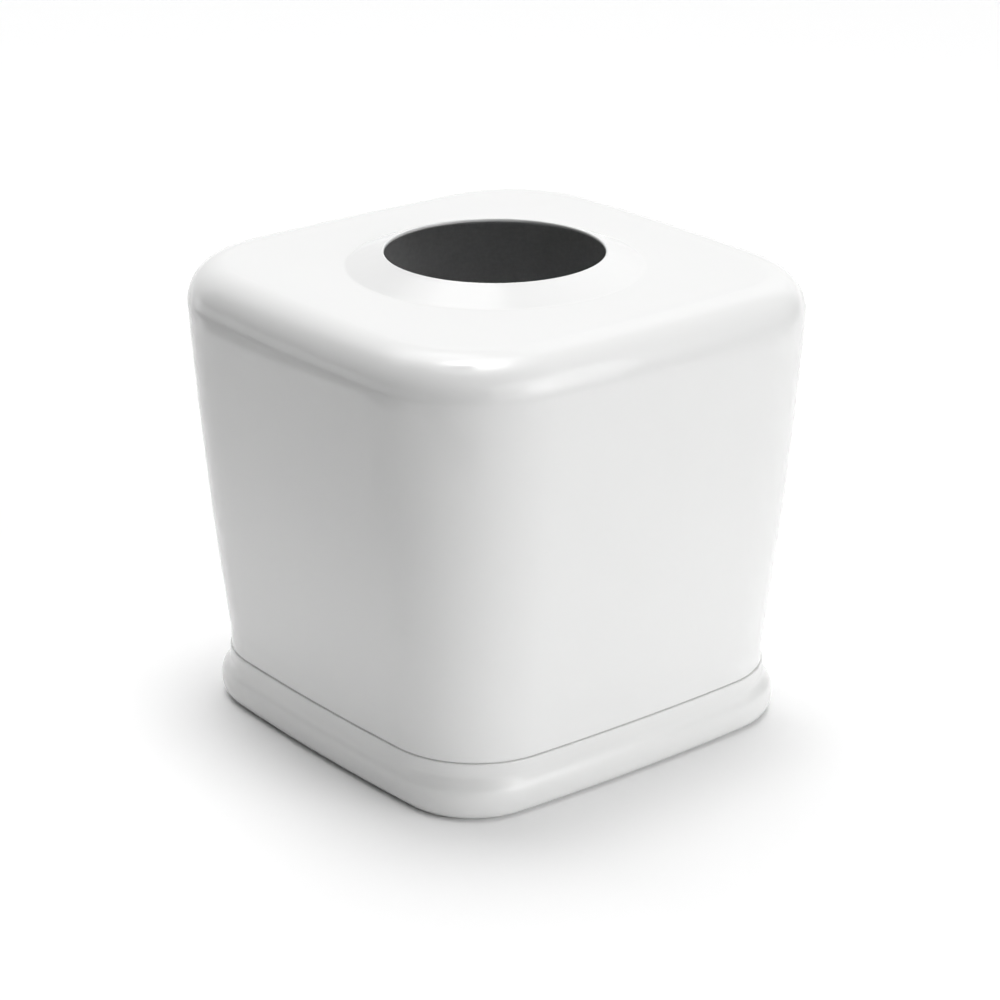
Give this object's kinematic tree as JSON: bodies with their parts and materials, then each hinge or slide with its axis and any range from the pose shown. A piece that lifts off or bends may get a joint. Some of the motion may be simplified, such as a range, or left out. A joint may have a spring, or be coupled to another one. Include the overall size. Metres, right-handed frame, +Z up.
{
  "type": "tissue box holder",
  "caption": "Square flared cover with a round raised dispensing collar, pressed onto a beaded base ring, open below for a cube box of tissues.",
  "frame": {"origin": "on the table, under the middle of the cover", "axes": "+Z up through the middle of the dispensing hole, +X and +Y out through the middles of two sides"},
  "size_m": [0.1554, 0.1554, 0.146],
  "materials": {
    "enamelled_steel": "gloss white stoved enamel",
    "ring_plastic": "gloss white moulding"
  },
  "bodies": {
    "root": {"cover": "enamelled_steel", "base_ring": "ring_plastic"}
  },
  "joints": []
}
